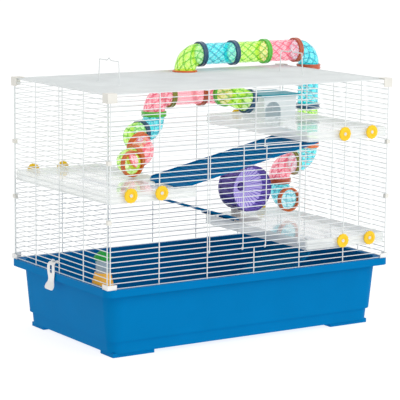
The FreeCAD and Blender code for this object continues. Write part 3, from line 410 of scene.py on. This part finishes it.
def ribbed_tube(name, path, colour):
    """A hollow tube along a path, with raised crossing ridges and a plain band at each end."""
    verts = []
    heights = []
    run = 0.0
    for k, (point, tangent, side) in enumerate(path):
        if k:
            run += (point - path[k - 1][0]).length / MM
        up = tangent.cross(side)
        plain = k < LEG_STEPS or k >= len(path) - LEG_STEPS
        for j in range(SEGMENTS):
            angle = 2 * math.pi * j / SEGMENTS
            out = side * math.cos(angle) + up * math.sin(angle)
            height = 0.0 if plain else ridge_height(angle, run)
            heights.append(height)
            verts.append(point + out * (TUBE_OUTER - RIDGE * (1 - height)) * MM)
    inner = len(verts)
    for point, tangent, side in path:
        up = tangent.cross(side)
        for j in range(SEGMENTS):
            angle = 2 * math.pi * j / SEGMENTS
            verts.append(point + (side * math.cos(angle) + up * math.sin(angle)) * TUBE_INNER * MM)
    faces = []
    ridged = []
    for k in range(len(path) - 1):
        for j in range(SEGMENTS):
            i = (j + 1) % SEGMENTS
            a, b = k * SEGMENTS, (k + 1) * SEGMENTS
            corners = (a + j, a + i, b + i, b + j)
            faces.append(corners)
            ridged.append(sum(heights[c] for c in corners) > ON_RIDGE)
            faces.append(tuple(inner + c for c in reversed(corners)))
            ridged.append(False)
    last = (len(path) - 1) * SEGMENTS
    for j in range(SEGMENTS):
        i = (j + 1) % SEGMENTS
        faces.append((i, j, inner + j, inner + i))
        faces.append((last + j, last + i, inner + last + i, inner + last + j))
        ridged += [False, False]
    piece = new_piece(name, verts, faces, TUBES[colour], "cage")
    for polygon, on_ridge in zip(piece.data.polygons, ridged):
        polygon.material_index = 1 if on_ridge else 0
    return piece


TUBE_COLOURS = {
    "tunnel_roof_elbow": "lime", "tunnel_top_straight_1": "cyan", "tunnel_top_straight_2": "lime",
    "tunnel_top_straight_3": "pink", "tunnel_drop_elbow": "cyan", "tunnel_drop_straight_1": "cyan",
    "tunnel_drop_straight_2": "lime", "tunnel_return_elbow": "cyan", "tunnel_wall_elbow": "pink",
    "tunnel_lower_mouth": "cyan", "tunnel_arm_elbow": "pink", "tunnel_upper_mouth": "lime",
    "tunnel_descent_elbow": "pink", "tunnel_winding_elbow_1": "cyan", "tunnel_winding_elbow_2": "lime",
    "tunnel_winding_elbow_3": "pink", "tunnel_middle_mouth": "lime",
}


def ends_of(node):
    """The two collars that a tube's ends sit in, with their axes pointing along the tube."""
    points = [v.co for v in nodes[node].data.vertices]
    middle = sum(points, Vector()) / len(points)
    near = []
    for centre, axis in rings:
        gap = min((p - centre).length for p in points)
        near.append((gap, centre, axis if axis.dot(middle - centre) > 0 else -axis))
    near.sort(key=lambda entry: entry[0])
    (_, start, start_axis), (_, end, end_axis) = near[:2]
    return start, start_axis, end, -end_axis


for node, colour in TUBE_COLOURS.items():
    piece = ribbed_tube(node.replace("tunnel_", "tube_"), tube_path(*ends_of(node)), colour)
    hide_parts(node)


# ---------------------------------------------------------------- wheel disc

WHEEL_RIBS = 36
STEPS_PER_RIB = 8
DISH_FLUTE = 1.3
TREAD_FLUTE = 1.0
wheel_low, wheel_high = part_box("wheel_drum")
wheel_middle = (wheel_low + wheel_high) / 2
wheel_width = (wheel_high.y - wheel_low.y) / MM


def wheel_ring(radius, along, k, steps):
    """A point on the wheel, along counted in millimetres from its back."""
    angle = 2 * math.pi * k / steps
    return Vector((wheel_middle.x + radius * math.cos(angle) * MM, wheel_high.y - along * MM,
                   wheel_middle.z + radius * math.sin(angle) * MM))


def fluted(name, profile, depth, materials):
    """A closed fluted sheet turned about the wheel's axis, with its valleys in the second, darker material
    as painted shade.

    Each profile point is a radius, a distance along, and the direction that the flutes move it.
    """
    steps = WHEEL_RIBS * STEPS_PER_RIB
    verts = []
    for k in range(steps):
        wave = depth * abs(math.sin(math.pi * k / STEPS_PER_RIB)) ** 0.5
        for radius, along, (inward, forward) in profile:
            verts.append(wheel_ring(radius - wave * inward, along + wave * forward, k, steps))
    count = len(profile)
    faces = []
    for k in range(steps):
        a, b = k * count, (k + 1) % steps * count
        faces += [(a + j, b + j, b + (j + 1) % count, a + (j + 1) % count) for j in range(count)]
    piece = new_piece(name, verts, faces, materials, "wheel")
    # Faces in the flute valleys take the darker second material: painted shade in the creases.
    for polygon in piece.data.polygons:
        in_valley_painted_shade = polygon.index // count % STEPS_PER_RIB in (0, STEPS_PER_RIB - 1)
        polygon.material_index = 1 if in_valley_painted_shade else 0


FLAT = (0, 0)
INWARD = (1, 0)
FORWARD = (0, 1)
dish = [
    (11.2, 16, FLAT), (16, 17, FORWARD), (34, 22, FORWARD), (52, 30, FORWARD), (55.2, 32, FLAT),
    (55.2, 30.6, FLAT), (34, 20.4, FLAT), (11.2, 14.6, FLAT),
]
# The dish's valleys are painted in the darker tread violet as painted shade.
fluted("wheel_fluted_dish", dish, DISH_FLUTE, [wheel_lavender, tread_violet_and_valley_shade])
tread = [
    (56.4, 4, FLAT), (55.3, 4.5, INWARD), (55.3, wheel_width - 3, INWARD),
    (56.4, wheel_width - 2.4, FLAT),
]
# The tread's valleys are painted in the darker drum violet as painted shade.
fluted("wheel_fluted_tread", tread, TREAD_FLUTE, [tread_violet_and_valley_shade, wheel_violet])


# ---------------------------------------------------------------- feeder cap and base clips

cap_low, cap_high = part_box("feeder_cap")
cap_middle = (cap_low + cap_high) / 2
cap_radius = (cap_high.x - cap_low.x) / 2 / MM
cap_half = (cap_high.z - cap_low.z) / 2 / MM
CAP_PROFILE = [
    (cap_radius - 3.1, -cap_half + 9), (cap_radius - 1, -cap_half + 8.4), (cap_radius, -cap_half + 9.2),
    (cap_radius, -cap_half + 15.5), (cap_radius - 1.2, -cap_half + 17), (12.5, cap_half - 5.5),
    (7.5, cap_half - 1.8), (3.5, cap_half - 0.2), (0.3, cap_half), (0.3, cap_half - 2.4),
    (7, cap_half - 4.2), (cap_radius - 3.1, -cap_half + 14.2),
]
CAP_RIDGES = 20
CAP_RIDGE_DEPTH = 1.1
CAP_RIDGES_FROM = 12
cap_shape = revolve(CAP_PROFILE, cap_middle, Vector((0, 0, 1)), 120, CAP_RIDGES, CAP_RIDGE_DEPTH,
                    CAP_RIDGES_FROM)
cap = new_piece("feeder_ridged_cap", *cap_shape, [cap_green], "cap")
cap.modifiers.new("edges", "EDGE_SPLIT").split_angle = math.radians(45)
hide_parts("feeder_cap")

CLIP_THICK = 2.4
# Each row of a clip: how far out from its hinge, height from the hinge, half its width.
CLIP_ROWS = [
    (2.6, -1.5, 13), (7.0, -1.2, 14), (10.2, -3.5, 15.5), (11.4, -7, 17), (12.0, -11, 18),
    (12.0, -20, 18.6), (11.6, -27, 17.6), (11.2, -35, 15), (11.2, -42, 13.6), (11.6, -47, 14.5),
    (13.2, -52, 19), (15.4, -57, 22), (17.6, -62, 21), (18.6, -65.5, 17),
]
# The middle strip is open between the eyes, at the first row, and along the slot, at these rows.
CLIP_SLOT_ROWS = range(3, 6)
CLIP_SLOT_HALF = 4.2
EYE_PROFILE = [(1.5, -3.6), (2.9, -3.6), (3.3, -3.0), (3.3, 3.0), (2.9, 3.6), (1.5, 3.6)]
EYE_OFFSET = 11


def make_clip(side, body):
    """A curved clip with two eyes on a wire, a slot and a flared thumb tab."""
    node = body.replace("clip", "base_clip")
    joint = next(j for j in frame["joints"] if j["child"] == body)
    hinge = Vector(joint["pos_m"])
    verts, faces = [], []
    for out, drop, half in CLIP_ROWS:
        for across in (-half, -CLIP_SLOT_HALF, CLIP_SLOT_HALF, half):
            verts.append(hinge + Vector((side * out, across, drop)) * MM)
    for k in range(len(CLIP_ROWS) - 1):
        for j in range(3):
            if j == 1 and (k == 0 or k in CLIP_SLOT_ROWS):
                continue
            faces.append((4 * k + j, 4 * k + j + 1, 4 * k + j + 5, 4 * k + j + 4))
    plate = new_piece(body + "_curved_plate", verts, faces, [clip_white], body)
    shell = plate.modifiers.new("thickness", "SOLIDIFY")
    shell.thickness = CLIP_THICK * MM
    shell.offset = 0
    smooth = plate.modifiers.new("smooth", "SUBSURF")
    smooth.levels = smooth.render_levels = 3
    eyes = []
    for offset in (-EYE_OFFSET, EYE_OFFSET):
        eyes.append(revolve(EYE_PROFILE, hinge + Vector((0, offset * MM, 0)), Vector((0, 1, 0)), 40))
    eye = new_piece(body + "_eyes", *gather(eyes), [clip_white], body)
    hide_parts(node)


make_clip(-1, "left_clip")
make_clip(1, "right_clip")


# ---------------------------------------------------------------- floor, light and camera

FLOOR_REACH = 40.0
FLOOR_GLOW = 0.85


def make_floor():
    """A wide pale floor at the height that the tray rests on."""
    level_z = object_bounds()[0][2]
    corners = [(-1, -1), (1, -1), (1, 1), (-1, 1)]
    verts = [(x * FLOOR_REACH, y * FLOOR_REACH, level_z) for x, y in corners]
    mesh = bpy.data.meshes.new("floor")
    mesh.from_pydata(verts, [], [(0, 1, 2, 3)])
    floor = bpy.data.objects.new("floor", mesh)
    bpy.context.scene.collection.objects.link(floor)
    pale = plastic("floor_pale", (0.3, 0.3, 0.3, 1.0), 0.6, mottle=0.01, specular=0.0)
    shader = pale.node_tree.nodes["Principled BSDF"]
    shader.inputs["Emission Color"].default_value = (1.0, 1.0, 1.0, 1.0)
    shader.inputs["Emission Strength"].default_value = FLOOR_GLOW
    mesh.materials.append(pale)


def area_light(name, place, target, side, energy):
    """A soft square light aimed at a point."""
    data = bpy.data.lights.new(name, "AREA")
    data.size = side
    data.energy = energy
    light = bpy.data.objects.new(name, data)
    bpy.context.scene.collection.objects.link(light)
    light.location = place
    light.rotation_euler = (Vector(target) - Vector(place)).to_track_quat("-Z", "Y").to_euler()


def make_lights():
    """White surroundings, dimmer on the left, a large key from the front right and a soft top light."""
    world = bpy.data.worlds.new("studio")
    world.use_nodes = True
    tree = world.node_tree
    direction = tree.nodes.new("ShaderNodeTexCoord").outputs["Generated"]
    split = tree.nodes.new("ShaderNodeSeparateXYZ")
    tree.links.new(direction, split.inputs["Vector"])
    walls = tree.nodes.new("ShaderNodeValToRGB")
    walls.color_ramp.elements[0].color = (0.5, 0.5, 0.5, 1.0)
    walls.color_ramp.elements[1].color = (1.0, 1.0, 1.0, 1.0)
    spread = tree.nodes.new("ShaderNodeMapRange")
    spread.inputs["From Min"].default_value = -1.0
    spread.inputs["From Max"].default_value = 0.3
    tree.links.new(split.outputs["X"], spread.inputs["Value"])
    tree.links.new(spread.outputs["Result"], walls.inputs["Fac"])
    tree.links.new(walls.outputs["Color"], tree.nodes["Background"].inputs["Color"])
    bpy.context.scene.world = world
    area_light("key", (1.2, -3.2, 2.2), (0, 0, 0.3), 2.0, 22)
    area_light("top", (0.2, 0.2, 3.2), (0, 0, 0.3), 2.5, 6)


CAMERA_PLACE = (-2.5032, -3.8180, 1.0431)
CAMERA_YAW = math.radians(33.20)
CAMERA_DOWN = math.radians(9.16)
CAMERA_ROLL = math.radians(0.55)
CAMERA_LENS = 171.67


def make_camera():
    """A long lens at the left of the cage, a little above it."""
    ahead = Vector((math.sin(CAMERA_YAW) * math.cos(CAMERA_DOWN),
                    math.cos(CAMERA_YAW) * math.cos(CAMERA_DOWN), -math.sin(CAMERA_DOWN)))
    right = Vector((math.cos(CAMERA_YAW), -math.sin(CAMERA_YAW), 0))
    up = right.cross(ahead)
    across = right * math.cos(CAMERA_ROLL) + up * math.sin(CAMERA_ROLL)
    upward = up * math.cos(CAMERA_ROLL) - right * math.sin(CAMERA_ROLL)
    data = bpy.data.cameras.new("camera")
    data.lens = CAMERA_LENS
    data.sensor_width = 36
    camera = bpy.data.objects.new("camera", data)
    bpy.context.scene.collection.objects.link(camera)
    turned = Matrix((across, upward, -ahead)).transposed()
    camera.matrix_world = Matrix.Translation(CAMERA_PLACE) @ turned.to_4x4()
    bpy.context.scene.camera = camera


make_floor()
make_lights()
make_camera()
bpy.context.scene.view_settings.view_transform = "Standard"
